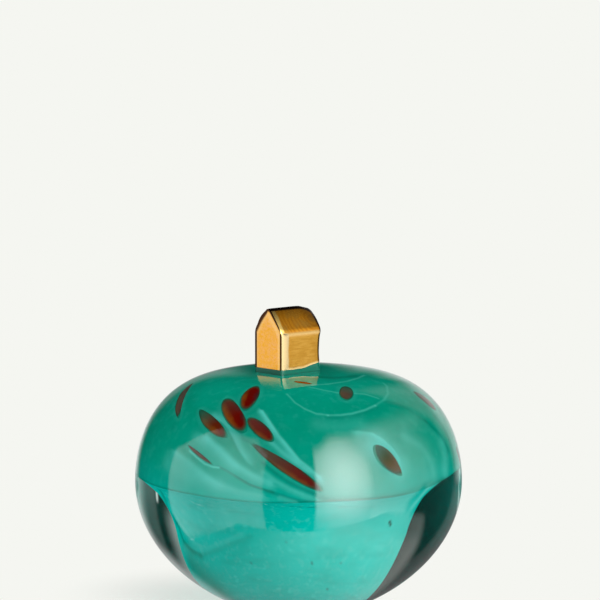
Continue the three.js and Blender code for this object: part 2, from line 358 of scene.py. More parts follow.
# Materials

def inner_glass(nodes, tone):
    """Coloured glass fused into the clear. It has no gloss of its own, as no air lies over it."""
    principled(nodes, Base_Color=tone, Roughness=INNER_ROUGHNESS, Specular_IOR_Level=0.0)


def clear_glass(name):
    """Clear glass with a slight green tint where it is thick."""
    material, nodes = new_material(name)
    output = principled(nodes, Base_Color=(1, 1, 1, 1), Roughness=0.0, IOR=GLASS_IOR,
                        Transmission_Weight=1.0)
    tint = nodes.add("VolumeAbsorption", {"Color": CLEAR_TINT, "Density": CLEAR_DENSITY})
    nodes.plug(output.inputs["Volume"], tint)
    return material


def heart_glass():
    """Light teal with a fine grain and level drawn-out lines, painted shade at its right shoulder under the
    hem, and its strokes of lines, painted shade, painted sheen and seeds.
    """
    material, nodes = new_material("heart_teal")
    spot = nodes.add("TexCoord").outputs["Object"]
    cloud = nodes.noise(38.0, detail=4.0, distortion=0.6)
    tone = nodes.ramp(cloud, [(0.32, HEART_DEEP), (0.62, HEART_PALE)])
    tone = nodes.mix(nodes.step(nodes.noise(520.0, detail=2.0), 0.58, 0.75), tone, HEART_GRAIN)
    mottle = nodes.step(nodes.noise(600.0, detail=3.0), 0.5, 0.7)
    tone = nodes.mix(nodes.product(mottle, 0.2), tone, HEART_SPECKLE_AND_SHEEN)
    stretched = nodes.vector("MULTIPLY", spot, HEART_DRAWN_STRETCH)
    drawn = nodes.step(nodes.noise(260.0, detail=4.0, distortion=0.4, at=stretched), 0.48, 0.7)
    tone = nodes.mix(nodes.product(drawn, 0.2), tone, HEART_LINE_AND_SHADE)
    x, y, height = nodes.parts(spot)
    round_by = nodes.product(nodes.math("ARCTAN2", x, nodes.product(y, -1.0)), 180 / math.pi)
    # Painted shade: darker at the right, just under the hem.
    shoulder = nodes.step(height, *HEART_SHADE_HEIGHTS)
    shoulder = nodes.product(nodes.step(round_by, *HEART_SHADE_ROUND), shoulder)
    tone = nodes.mix(nodes.product(shoulder, 0.75), tone, HEART_SHADE)
    for layer, stroke in (("deep", HEART_LINE_AND_SHADE), ("pale", HEART_SPECKLE_AND_SHEEN), ("seed", HEART_SEED)):
        tone = nodes.mix(nodes.attribute(layer), tone, stroke)
    inner_glass(nodes, tone)
    return material


def overlay_glass():
    """Teal in clouds, darker from the hem up as painted shade, with its creases and its pale streaky veils.
    """
    material, nodes = new_material("overlay_teal")
    spot = nodes.add("TexCoord").outputs["Object"]
    height = nodes.parts(spot)[2]
    share = nodes.math("DIVIDE", nodes.less(height, WAIST), DOME_HEIGHT)
    cloud = nodes.ripple(30.0, 0.5, detail=5.0, distortion=0.8)
    # Painted shade by height: lightest at the hem, darkest high on the dome and a little lighter at its
    # very top.
    tone = nodes.ramp(nodes.plus(share, cloud), [(0.02, OVERLAY_LOW), (0.3, OVERLAY_MID),
                                                 (0.75, OVERLAY_DEEP), (1.0, OVERLAY_TOP)])
    mottle = nodes.noise(380.0, detail=3.0)
    tone = nodes.mix(nodes.product(nodes.step(mottle, 0.5, 0.7), 0.08), tone, VEIL_PALE)
    tone = nodes.mix(nodes.product(nodes.step(mottle, 0.5, 0.3), 0.1), tone, VEIL_DEEP)
    streaks = nodes.plus(0.55, nodes.noise(90.0, detail=4.0, distortion=1.5))
    tone = nodes.mix(nodes.attribute("deep"), tone, VEIL_DEEP)
    tone = nodes.mix(nodes.product(nodes.attribute("pale"), streaks), tone, VEIL_PALE)
    inner_glass(nodes, tone)
    return material


def chip_glass():
    """Red-brown, warmer along one side and purplish along the other, sinking into dark green at
    its rim. Layers on each chip say how olive, how grey and how deeply sunk it is."""
    material, nodes = new_material("chip_red")
    rim = nodes.attribute("rim")
    grain = nodes.ripple(260.0, 0.5)
    core = nodes.ramp(nodes.plus(nodes.attribute("cool"), grain),
                      [(0.12, CHIP_WARM), (0.42, CHIP_CORE), (0.62, CHIP_CORE), (0.88, CHIP_COOL)])
    for layer, tint in (("olive", CHIP_OLIVE), ("grey", CHIP_GREY), ("sunk", CHIP_SUNK)):
        core = nodes.mix(nodes.attribute(layer), core, tint)
    edge = nodes.ramp(rim, [(0.86, CHIP_RIM), (1.0, OVERLAY_DEEP)])
    at_rim = nodes.step(nodes.plus(rim, nodes.product(grain, 0.4)), 0.66, 0.97)
    inner_glass(nodes, nodes.mix(at_rim, core, edge))
    return material


def foot_glass():
    """The clear bit under the house, painted as the teal below it that shows through in the house's shade:
    painted shade.
    """
    material, nodes = new_material("foot_shaded_teal")
    principled(nodes, Base_Color=FOOT_SHADED_TEAL, Roughness=0.08, IOR=GLASS_IOR, Specular_IOR_Level=0.2)
    return material


class HousePlaces:
    """Where a point of the house is: sockets in millimetres, in the house's own directions."""

    def __init__(self, nodes):
        spot = nodes.add("TexCoord").outputs["Object"]
        from_middle = nodes.vector("SUBTRACT", spot, (HOUSE_PLACE.x, HOUSE_PLACE.y, BALL_TOP))
        turned = nodes.add("VectorRotate", {"Vector": from_middle, "Angle": -HOUSE_TURN},
                           rotation_type="Z_AXIS")
        self.local = nodes.scaled(turned, 1 / MM)
        along, self.across, self.up = nodes.parts(self.local)
        self.half_long = HOUSE_LENGTH / 2 / MM
        self.half_wide = HOUSE_WIDTH / 2 / MM
        self.eaves = WALL_HEIGHT / MM
        self.from_gable = nodes.plus(along, self.half_long)
        self.on_gable = nodes.step(self.from_gable, 0.5, 0.3)
        self.off_gable = nodes.less(1.0, self.on_gable)
        self.on_roof = nodes.step(self.up, self.eaves - 0.2, self.eaves + 0.3)
        self.past_corner = nodes.step(self.from_gable, *PAST_CORNER)
        self.cloud = nodes.noise(0.3, detail=2.0, at=self.local)
        self.to_edge = self.distance_to_edge(nodes)

    def distance_to_edge(self, nodes):
        """How far a point of the gable is from its walls or, counted as nearer, from its roof."""
        from_wall = nodes.less(self.half_wide, nodes.math("ABSOLUTE", self.across))
        roof_over = nodes.plus(nodes.product(from_wall, math.tan(ROOF_PITCH)), self.eaves)
        to_roof = nodes.product(nodes.less(roof_over, self.up), math.cos(ROOF_PITCH))
        bulge = nodes.product(nodes.step(self.across, 0.0, 0.8), nodes.hump(self.up, self.eaves + 3.4, 3.0))
        to_roof = nodes.plus(to_roof, nodes.product(bulge, REAR_SLOPE_BULGE / MM))
        to_wall = nodes.less(from_wall, GABLE_INSET / MM)
        return nodes.math("MINIMUM", to_wall, nodes.product(to_roof, 0.55))


def gold_walls(nodes, at):
    """The walls, brushed with gold in level strokes."""
    level = nodes.vector("MULTIPLY", at.local, GOLD_BRUSH_STRETCH)
    brush = nodes.noise(1.0, detail=5.0, roughness=0.6, distortion=0.6, at=level)
    tone = nodes.ramp(brush, [(0.25, GOLD_DEEP), (0.52, GOLD_MID), (0.8, GOLD_PALE)])
    return nodes.mix(nodes.product(nodes.step(at.cloud, 0.45, 0.65), 0.5), tone, GOLD_DEEP)


def gold_gable(nodes, at, tone):
    """The gable's flat face, in blotches of amber and rose brighter than the walls' gold, partly painted
    light, with a painted highlight just inside its rim.
    """
    spread = nodes.vector("MULTIPLY", at.local, (1, 1, 1.8))
    blotch = nodes.noise(0.8, detail=4.0, distortion=1.0, at=spread)
    rose = nodes.ramp(blotch, [(0.36, GOLD_AMBER), (0.5, GOLD_ROSE), (0.66, GOLD_BLUSH)])
    tone = nodes.mix(nodes.product(at.on_gable, 0.85), tone, rose)
    rim_highlight = nodes.product(nodes.hump(at.to_edge, 0.7, 0.45), at.on_gable, 0.3)
    return nodes.mix(rim_highlight, tone, GOLD_CREAM)


def gold_roof(nodes, at, tone):
    """The roof, in rings of deeper and paler gold, with painted light that brightens it toward the ridge.
    """
    middle = (at.half_long - 1.5, -at.half_wide / 2, at.eaves + at.half_wide / 2)
    reach = nodes.length(nodes.vector("SUBTRACT", at.local, middle))
    wave = nodes.plus(nodes.product(reach, 5.0), nodes.product(at.cloud, 12.0))
    rings = nodes.step(nodes.math("SINE", wave), -1.2, 1.2)
    roof = nodes.ramp(rings, [(0.1, ROOF_DEEP), (0.9, ROOF_PALE)])
    roof = nodes.mix(nodes.product(nodes.step(at.cloud, 0.42, 0.6), 0.6), roof, GOLD_MID)
    roof = nodes.mix(nodes.step(at.up, at.eaves + 1.5, at.eaves + 6.0), roof, ROOF_RIDGE_LIGHT, "ADD")
    return nodes.mix(nodes.product(at.on_roof, at.off_gable), tone, roof)


def gold_highlights_and_foot(nodes, at, tone):
    """Painted highlights along the rounded corner by the gable and along the eaves, and a pale line along
    the ragged foot of the gold.
    """
    wobble = nodes.ripple(0.35, 0.7, detail=2.0, at=at.local)
    front = nodes.step(at.across, at.half_wide * 0.5, 0.0)
    band_end = nodes.less(nodes.plus(CORNER_BAND, wobble), nodes.product(at.on_roof, 1.1))
    # Painted highlight along the rounded corner by the gable, reaching onto the roof's verge.
    band = nodes.product(nodes.step(nodes.less(at.from_gable, band_end), 0.6, 0.0), front, at.off_gable)
    stops = [(share, (*[part * level for part in GOLD_CREAM[:3]], 1)) for share, level in BAND_LEVELS]
    cream = nodes.ramp(nodes.math("DIVIDE", at.from_gable, CORNER_BAND), stops)
    tone = nodes.mix(nodes.product(band, 0.95), tone, nodes.mix(at.on_roof, cream, ROOF_VERGE_HIGHLIGHT))
    eave_highlight = nodes.product(nodes.hump(at.up, at.eaves - 0.5, 0.5), at.past_corner, 0.3)
    tone = nodes.mix(eave_highlight, tone, GOLD_CREAM)
    ragged = nodes.product(nodes.attribute("edge"), at.past_corner, 0.7)
    return nodes.mix(ragged, tone, GOLD_CREAM)


def gold_dark_reflections(nodes, at):
    """Painted dark reflections, where the gold's rounded edges mirror dark surroundings: the gable's rim
    and corner, the ridge and the rear edge.
    """
    rim_width = nodes.plus(nodes.product(nodes.step(at.across, -1.0, 1.0), 0.55), 0.22)
    rim = nodes.product(nodes.step(nodes.math("DIVIDE", at.to_edge, rim_width), 1.3, 0.7), at.on_gable)
    corner = nodes.product(nodes.step(at.from_gable, 0.5, 0.36), nodes.step(at.to_edge, 0.3, 0.1))
    rearward = nodes.math("DIVIDE", nodes.less(at.from_gable, at.half_long), at.half_long, clamp=True)
    droop = nodes.product(nodes.math("POWER", rearward, DROOP_POWER), RIDGE_DROOP / MM)
    ridge, rear = RIDGE_HEIGHT / MM, 2 * at.half_long
    dark = nodes.math("MAXIMUM", rim, corner)
    dark = nodes.math("MAXIMUM", dark, nodes.step(nodes.plus(at.up, droop), ridge - 0.5, ridge - 0.2))
    return nodes.math("MAXIMUM", dark, nodes.step(at.from_gable, rear - 0.4, rear - 0.15))


def gold_lustre():
    """Gold lustre fired on, a colour for each side of the house, partly painted light, with painted
    highlights and painted dark reflections.
    """
    material, nodes = new_material("gold_lustre")
    at = HousePlaces(nodes)
    tone = gold_gable(nodes, at, gold_walls(nodes, at))
    tone = gold_highlights_and_foot(nodes, at, gold_roof(nodes, at, tone))
    tone = nodes.mix(gold_dark_reflections(nodes, at), tone, GOLD_DARK_REFLECTION)
    principled(nodes, Base_Color=tone, Metallic=1.0, Roughness=0.2)
    return material


# The ball's outline

def outward(radius, height):
    """The unit normal (out, up) of the ball's outside at a point of its outline."""
    above = height >= WAIST
    fullness = DOME_FULLNESS if above else BELLY_FULLNESS
    reach = DOME_HEIGHT if above else BELLY_DEPTH
    out = fullness / BALL_RADIUS * (radius / BALL_RADIUS) ** (fullness - 1)
    up = 2 * (height - WAIST) / reach ** 2
    length = math.hypot(out, up)
    return out / length, up / length


def on_dome(turn, depth=0.0):
    """(radius, height) on the dome, turn from 0 at the top to a right angle at the waist."""
    radius = BALL_RADIUS * math.sin(turn) ** (2 / DOME_FULLNESS)
    height = WAIST + DOME_HEIGHT * math.cos(turn)
    out, up = outward(radius, height)
    return radius - depth * out, height - depth * up


def on_belly(turn):
    """(radius, height) under the waist, turn from 0 at the waist."""
    radius = BALL_RADIUS * math.cos(turn) ** (2 / BELLY_FULLNESS)
    return radius, WAIST - BELLY_DEPTH * math.sin(turn)


def dome_turn_at(height, depth):
    """The turn at which the dome at this depth comes down to this height."""
    low, high = 0.0, math.pi / 2
    for _ in range(50):
        middle = (low + high) / 2
        if on_dome(middle, depth)[1] > height:
            low = middle
        else:
            high = middle
    return low


def dome_outline(depth, lowest, rows=DOME_ROWS, crowding=DOME_CROWDING):
    """The dome's outline from the top down to a height, its rows closer together at the top."""
    last = dome_turn_at(lowest, depth)
    return [(0.0, BALL_TOP - depth)] + [
        on_dome(last * (row / rows) ** crowding, depth) for row in range(1, rows + 1)]


def beside(angle, around, spread):
    """1 at so many degrees round from the front, and less to both sides."""
    away = (math.degrees(angle) - around + 180) % 360 - 180
    return math.exp(-((away / spread) ** 2))


def hem_at(angle):
    """The height of the hem, angle in radians round from the front."""
    height = HEM + HEM_WAVE * math.sin(angle * HEM_WAVES)
    for rise, around, spread in HEM_CLIMBS:
        height += rise * beside(angle, around, spread)
    return height


def lean_at(height):
    share = min(max(1 - height / HEM, 0), 1)
    return -STEM_LEAN * math.sin(share * math.pi / 2)


# Meshes

def add_object(name, vertices, faces, material):
    mesh = bpy.data.meshes.new(name)
    mesh.from_pydata([tuple(v) for v in vertices], [], faces)
    mesh.update()
    mesh.shade_smooth()
    mesh.set_sharp_from_angle(angle=math.radians(SMOOTH_UNDER))
    piece = bpy.data.objects.new(name, mesh)
    bpy.context.scene.collection.objects.link(piece)
    mesh.materials.append(material)
    return piece


def turn_outward(mesh, weld=None):
    """Turns all faces outward, once points closer together than weld are joined."""
    body = bmesh.new()
    body.from_mesh(mesh)
    if weld:
        bmesh.ops.remove_doubles(body, verts=body.verts, dist=weld)
    bmesh.ops.recalc_face_normals(body, faces=body.faces)
    body.to_mesh(mesh)
    body.free()


def revolve(name, outline_at, material, around=AROUND):
    """A closed skin round the axis. outline_at gives the outline at an angle in radians, from the
    top of the axis to its foot. A point is (radius, height) and may have a third number, which
    moves its ring along X."""
    turns = [2 * math.pi * step / around for step in range(around)]
    outlines = [outline_at(turn) for turn in turns]
    vertices, rings = [], []
    for row, first in enumerate(outlines[0]):
        if first[0] < AXIS_RADIUS:
            rings.append([len(vertices)])
            vertices.append((0.0, 0.0, first[1]))
            continue
        rings.append(list(range(len(vertices), len(vertices) + around)))
        for turn, outline in zip(turns, outlines):
            radius, height, *moved = outline[row]
            across = radius * math.sin(turn) + (moved[0] if moved else 0.0)
            vertices.append((across, -radius * math.cos(turn), height))
    faces = []
    for upper, lower in zip(rings, rings[1:]):
        for step in range(around):
            after = (step + 1) % around
            if len(upper) == 1:
                faces.append((upper[0], lower[step], lower[after]))
            elif len(lower) == 1:
                faces.append((upper[step], lower[0], upper[after]))
            else:
                faces.append((upper[step], lower[step], lower[after], upper[after]))
    return add_object(name, vertices, faces, material)


# Folds and veils of the skin, as the photograph shows them: how strong, the width in mm to the left
# and right of the path, and the path in the photograph's pixels
DEEP_VEILS = [
    (0.7, 0.2, 0.9, [(225, 422), (231, 430), (235, 437), (240, 448)]),
    (0.5, 0.8, 0.3, [(240, 434), (243, 440), (251, 443), (257, 449), (262, 456)]),
    (1.0, 0.2, 0.4, [(218, 466), (228, 471), (239, 478), (251, 485), (262, 488.5), (273, 492)]),
    (0.6, 0.3, 0.9, [(268, 490), (279, 494), (296, 499.5), (318, 502)]),
    (0.65, 0.3, 0.7, [(263, 462), (275, 472), (288, 481), (302, 488), (314, 493)]),
    (0.45, 0.3, 0.9, [(328, 417), (340, 417), (352, 415.5), (365, 412), (376, 407)]),
    (0.75, 1.6, 1.6, [(318, 377), (334, 378), (348, 377), (356, 376)]),
    (0.4, 0.35, 0.9, [(385, 401), (396, 403), (407, 408), (416, 415), (425.5, 421)]),
    (0.6, 0.5, 0.7, [(425.5, 420.5), (433, 428), (439.4, 434), (444.7, 442), (448, 450), (447, 456)]),
    (0.6, 0.7, 0.3, [(434, 416), (444, 429), (449, 440), (453, 453), (454, 466)]),
    (0.5, 1.2, 0.3, [(318, 499), (339, 501), (362, 500.4), (386, 497.4), (403, 494), (422, 487),
                     (443, 480)]),
]
PALE_VEILS = [
    (0.95, 0.4, 1.1, [(262, 411), (270, 423), (279, 436), (289, 448), (299, 460), (310, 469),
                      (321, 478)]),
    (0.55, 1.6, 0.35, [(214, 417), (223, 422), (229, 429), (233, 436), (239, 449), (248, 462)]),
    (0.75, 0.9, 1.6, [(206, 437), (222, 451), (238, 466), (252, 475), (270, 483)]),
    (0.55, 0.8, 1.8, [(176, 452), (194, 466), (216, 483), (240, 492), (262, 496)]),
    (1.0, 0.25, 0.25, [(189.5, 450.5), (197, 457.5), (205, 464), (213, 467), (219, 467.5)]),
    (0.35, 0.5, 0.9, [(280, 497), (296, 502), (314, 504)]),
    (0.5, 0.6, 1.0, [(264, 472), (276, 481), (290, 489), (304, 495), (317, 499)]),
    (0.4, 0.25, 0.35, [(287, 394), (295, 402.5), (305, 409), (316, 413.5), (328, 415)]),
    (0.48, 0.3, 0.4, [(328, 415.2), (340, 415), (352, 413.5), (365, 410), (375, 405.5)]),
    (0.28, 0.3, 0.4, [(375, 405.5), (384, 399.7), (387.7, 393.8), (386.6, 386), (383, 383)]),
    (0.35, 0.2, 0.5, [(310, 387), (324, 390), (337, 392.5), (351, 393), (365, 394), (378, 398)]),
    (0.4, 0.3, 0.5, [(312, 385), (328, 384), (346, 381.5), (358, 378), (364, 375)]),
    (0.5, 0.15, 1.5, [(357, 431), (373, 433), (384, 440), (393.5, 449), (399, 458)]),
    (0.2, 2.2, 2.2, [(318, 424), (340, 427), (360, 424)]),
    (0.25, 1.5, 1.5, [(404, 436), (422, 448), (432, 462), (434, 474)]),
    # Partly painted reflection: this pale veil by the right rim also stands in for light the glass reflects
    # there.
    (0.4, 2.2, 2.2, [(442, 444), (446, 456), (445, 470)]),
    (0.75, 4.0, 4.0, [(376, 446), (396, 466)]),
    (0.4, 2.5, 2.5, [(168, 462), (190, 476), (218, 485)]),
    (0.35, 2.0, 2.0, [(196, 438), (214, 455), (232, 468)]),
    (0.55, 0.8, 0.8, [(264, 433), (272, 443), (283, 453), (295, 462), (308, 470)]),
]

# The same for what shows on the heart under the hem
HEART_STROKES_AND_SHADE = [
    (0.8, 0.22, 0.3, [(290, 506), (310, 507), (335, 507), (355, 507), (374, 506.6)]),
    (0.75, 0.35, 0.9, [(161, 492), (169, 510), (179, 526), (184, 540), (192, 551), (200, 554)]),
    (0.35, 0.35, 0.9, [(200, 554), (215, 550), (233, 542), (250, 536)]),
    # Painted shade: the dark of the shaded floor that the ball reflects at its lower left.
    (0.85, 4.0, 4.0, [(194, 568), (205, 577), (215, 587), (225, 597)]),
]
# Painted sheen: pale haze where the glass reflects light over the heart, and some small pale spots.
HEART_SHEEN_AND_SPOTS = [
    (0.22, 0.3, 1.2, [(174, 512), (186, 530), (196, 543), (206, 547), (222, 541), (240, 533)]),
    (0.55, 1.5, 1.5, [(428, 488), (419, 498), (412, 507)]),
    (0.2, 5.0, 5.0, [(352, 522), (385, 522), (402, 518)]),
    (0.7, 0.15, 0.2, [(190, 501), (196, 503.5), (202, 505)]),
    (1.0, 0.15, 0.15, [(198, 507.5), (201, 508.5)]),
    (1.0, 0.18, 0.18, [(264.5, 504), (267, 505)]),
    (1.0, 0.18, 0.18, [(191, 539), (193, 540.5)]),
]
HEART_SEEDS = [
    (1.8, 0.25, 0.25, [(389.5, 522.5), (390.5, 524)]),
    (0.6, 0.25, 0.25, [(312, 562.5), (312.5, 563.5)]),
    (0.6, 0.25, 0.25, [(251, 562.5), (251.5, 563.5)]),
    (0.45, 0.22, 0.22, [(286, 541.5), (286.5, 542.5)]),
    (0.45, 0.22, 0.22, [(341, 562.5), (341.5, 563.5)]),
    (0.6, 0.25, 0.25, [(327, 588.5), (327.5, 589.5)]),
]

# The paler halo round the chips and the darker line along the hem, with their widths in mm
HALO = 0.16
HALO_WIDTH = 1.5
HEM_LINE = 0.85
HEM_LINE_WIDTH = 0.35

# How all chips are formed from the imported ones: longer, spread sideways, and welded
CHIP_GROWTH = 1.14
CHIP_SPREAD = 1.6
CHIP_WELD = 0.01 * MM

# What sets a chip apart. Its shape, in shares: longer, wider, and blunt, which is how much wider its
# upper end is. moved is in metres to the right. Its tone: grey at its lower and its upper end, olive
# all over, and how deep its upper end is sunk
PLAIN_CHIP = {"longer": 1.0, "wider": 1.0, "blunt": 0.0, "moved": 0.0, "grey": (0.0, 0.0),
              "olive": 0.0, "sunk": 0.0}
CHIP_MARKS = {
    "chip_01": {"grey": (0.7, 0.85)},
    "chip_02": {"wider": 1.2, "blunt": -0.2, "olive": 0.2, "sunk": 1.0},
    "chip_03": {"sunk": 0.3},
    "chip_05": {"grey": (0.0, 0.35)},
    "chip_06": {"longer": 1.05, "blunt": -0.35, "grey": (0.05, 0.4), "sunk": 0.45},
    "chip_07": {"grey": (0.6, 0.6)},
    "chip_09": {"grey": (0.5, 0.7), "olive": 0.35, "sunk": 0.8},
    "chip_10": {"wider": 1.12, "blunt": 0.35, "moved": -1.1 * MM, "olive": 0.85, "sunk": 1.0},
    "chip_11": {"wider": 1.5, "grey": (0.6, 0.7), "olive": 0.5, "sunk": 0.5},
    "chip_12": {"grey": (0.4, 0.4)},
}

# How far inside the glass a bent ray starts
RAY_START = 0.05 * MM


def make_casing(material):
    """The clear outer gather: the dome, the belly and the flat ground foot as one closed body."""
    outline = dome_outline(0.0, WAIST)
    last = math.asin((WAIST - FOOT_CHAMFER) / BELLY_DEPTH)
    outline += [on_belly(last * row / BELLY_ROWS) for row in range(1, BELLY_ROWS + 1)]
    outline += [(FOOT_RADIUS - FOOT_CHAMFER, 0.0), (0.0, 0.0)]
    return revolve("casing_glass", lambda turn: outline, material)


def make_heart(material, casing):
    """The light teal gather: a dome, the cove that turns in under the hem, and the stem."""
    def outline_at(turn):
        hem = hem_at(turn)
        shoulder = on_dome(dome_turn_at(hem, HEART_DEPTH), HEART_DEPTH)[0]
        outline = dome_outline(HEART_DEPTH, hem)
        stem_top = HEM - COVE_DEPTH
        top_radius, foot_radius = STEM_TOP_RADIUS, STEM_FOOT_RADIUS
        for around, top_swell, foot_swell in STEM_SWELLS:
            share = beside(turn, around, STEM_SWELL_SPREAD)
            top_radius += top_swell * share
            foot_radius += foot_swell * share
        for row in range(1, COVE_ROWS + 1):
            share = row / COVE_ROWS
            bend = share * math.pi / 2
            inward = math.sin(bend) + (share - math.sin(bend)) * COVE_STRAIGHTNESS
            downward = 1 - math.cos(bend) + (share - 1 + math.cos(bend)) * COVE_STRAIGHTNESS
            radius = shoulder - (shoulder - top_radius) * inward
            height = hem - (hem - stem_top) * downward
            outline.append((radius, height, lean_at(height)))
        for row in range(1, STEM_ROWS + 1):
            share = row / STEM_ROWS
            radius = top_radius + (foot_radius - top_radius) * share
            height = stem_top + (HEART_FOOT - stem_top) * share
            outline.append((radius, height, lean_at(height)))
        return outline + [(0.0, HEART_FOOT)]
    piece = revolve("heart_core", outline_at, material, around=HEART_AROUND)
    strokes = {"deep": HEART_STROKES_AND_SHADE, "pale": HEART_SHEEN_AND_SPOTS, "seed": HEART_SEEDS}
    keep_layers(piece.data, drawn_on(piece, casing, strokes)[1])
    return piece


def make_overlay(material, casing, chips):
    """The skin of deeper teal. Layers on it say how pale or how deep the glass is at a point."""
    def outline_at(turn):
        hem = hem_at(turn)
        outside = dome_outline(OVERLAY_DEPTH, hem, OVERLAY_ROWS, OVERLAY_CROWDING)
        inside = dome_outline(OVERLAY_DEPTH + OVERLAY_THICKNESS, hem, INSIDE_ROWS, OVERLAY_CROWDING)
        return outside + inside[::-1]
    piece = revolve("overlay_skin", outline_at, material, around=OVERLAY_AROUND)
    points, layers = drawn_on(piece, casing, {"deep": DEEP_VEILS, "pale": PALE_VEILS})
    around_chips = kdtree.KDTree(sum(len(chip.data.vertices) for chip in chips))
    for chip in chips:
        for vertex in chip.data.vertices:
            around_chips.insert(vertex.co, 0)
    around_chips.balance()
    gap = np.array([around_chips.find(point)[2] for point in points]) / MM
    layers["pale"] += HALO * np.clip((HALO_WIDTH - gap) / HALO_WIDTH, 0, 1)
    turns = np.arctan2(points[:, 0], -points[:, 1])
    over_hem = (points[:, 2] - np.array([hem_at(turn) for turn in turns])) / MM
    layers["deep"] += HEM_LINE * np.exp(-(over_hem / HEM_LINE_WIDTH) ** 2)
    keep_layers(piece.data, layers)
    return piece


def drawn_on(piece, casing, strokes):
    """The points of a skin, and for each layer that strokes name, how strongly it marks them."""
    points = np.array([v.co for v in piece.data.vertices])
    normals = np.array([v.normal for v in piece.data.vertices])
    layers = {layer: np.zeros(len(points)) for layer in strokes}
    for layer, rows in strokes.items():
        for strength, left, right, seen in rows:
            path = [spot for spot in (onto_skin(place, casing, piece) for place in seen) if spot]
            layers[layer] += strength * nearness(path, points, normals, left * MM, right * MM)
    return points, layers


def keep_layers(mesh, layers):
    """Stores each layer on the mesh's points, kept between 0 and 1, for its material to read."""
    for name, values in layers.items():
        layer = mesh.attributes.new(name, "FLOAT", "POINT")
        layer.data.foreach_set("value", np.clip(values, 0, 1).astype(np.float32))


def onto_skin(seen, casing, skin):
    """Where a point of the photograph lies on the skin, through the clear glass in front of it."""
    camera = bpy.context.scene.camera
    focal_px = camera.data.lens * PHOTO_SIDE / SENSOR
    across, down = seen[0] - PHOTO_SIDE / 2, seen[1] - PHOTO_SIDE / 2
    toward = camera.rotation_euler.to_matrix() @ Vector((across / focal_px, -down / focal_px, -1))
    toward.normalize()
    hit, place, normal, _ = casing.ray_cast(camera.location, toward)
    if not hit:
        return None
    facing = -toward.dot(normal)
    bent = toward / GLASS_IOR + normal * (
        facing / GLASS_IOR - math.sqrt(1 - (1 - facing ** 2) / GLASS_IOR ** 2))
    hit, place, _, _ = skin.ray_cast(place + bent * RAY_START, bent)
    return place if hit else None


def nearness(path, points, normals, left, right):
    """1 on the path and less beside it, with a width for its left and one for its right."""
    best = np.full(len(points), 1e9)
    sides = np.zeros(len(points))
    for start, end in zip(path, path[1:]):
        start, along = np.array(start), np.array(end - start)
        share = np.clip((points - start) @ along / (along @ along), 0, 1)
        offset = points - start - share[:, None] * along
        distance = np.linalg.norm(offset, axis=1)
        nearer = distance < best
        best[nearer] = distance[nearer]
        sides[nearer] = np.einsum("ij,ij->i", np.cross(along, offset[nearer]), normals[nearer])
    return np.exp(-(best / np.where(sides > 0, left, right)) ** 2)


def smooth_chip(node):
    """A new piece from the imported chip, welded and smoothed."""
    mesh = frame["nodes"][node].data.copy()
    piece = bpy.data.objects.new(node.replace("chip", "fleck"), mesh)
    bpy.context.scene.collection.objects.link(piece)
    turn_outward(mesh, weld=CHIP_WELD)
    smooth = piece.modifiers.new("smooth", "SUBSURF")
    smooth.levels = smooth.render_levels = 2
    apply_modifiers(piece)
    piece.data.shade_smooth()
    return piece


def make_chip(node, material):
    """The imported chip, smoothed and formed, with layers that say how its glass varies."""
    piece = smooth_chip(node)
    mesh = piece.data
    marks = {**PLAIN_CHIP, **CHIP_MARKS.get(node, {})}
    points = np.array([v.co for v in mesh.vertices])
    middle = points.mean(0)
    _, _, (lengthways, sideways, _) = np.linalg.svd(points - middle, full_matrices=False)
    rising = 1 if lengthways[2] > 0 else -1
    rightward = 1 if sideways[0] > 0 else -1
    longer = CHIP_GROWTH * marks["longer"] - 1
    stretch = np.eye(3) + longer * np.outer(lengthways, lengthways)
    stretch += CHIP_SPREAD * (CHIP_GROWTH - 1) * np.outer(sideways, sideways)
    rise = (points - middle) @ lengthways * rising
    wider = marks["wider"] * (1 + marks["blunt"] * rise / np.abs(rise).max())
    aside = ((points - middle) @ sideways)[:, None] * sideways
    points = (points - middle) @ stretch + middle + aside * (wider - 1)[:, None]
    points += sideways * rightward * marks["moved"]
    mesh.vertices.foreach_set("co", points.astype(np.float32).ravel())
    along = (points - middle) @ lengthways * rising
    across = (points - middle) @ sideways * rightward
    keep_layers(mesh, chip_layers(marks, along / np.abs(along).max(), across / np.abs(across).max()))
    mesh.materials.clear()
    mesh.materials.append(material)
    return piece


def chip_layers(marks, along, across):
    """How the glass varies over a chip. along is -1 at its lower end and 1 at its upper end."""
    low_grey, high_grey = marks["grey"]
    return {"rim": np.hypot(along, across),
            "cool": across / 2 + 0.5,
            "olive": np.full(len(along), marks["olive"]),
            "grey": low_grey + (high_grey - low_grey) * (along + 1) / 2,
            "sunk": marks["sunk"] * np.clip(along + 0.2, 0, 1)}


def apply_modifiers(piece):
    """Puts the piece's modifiers into its mesh."""
    graph = bpy.context.evaluated_depsgraph_get()
    finished = bpy.data.meshes.new_from_object(piece.evaluated_get(graph))
    piece.modifiers.clear()
    piece.data = finished


# The house

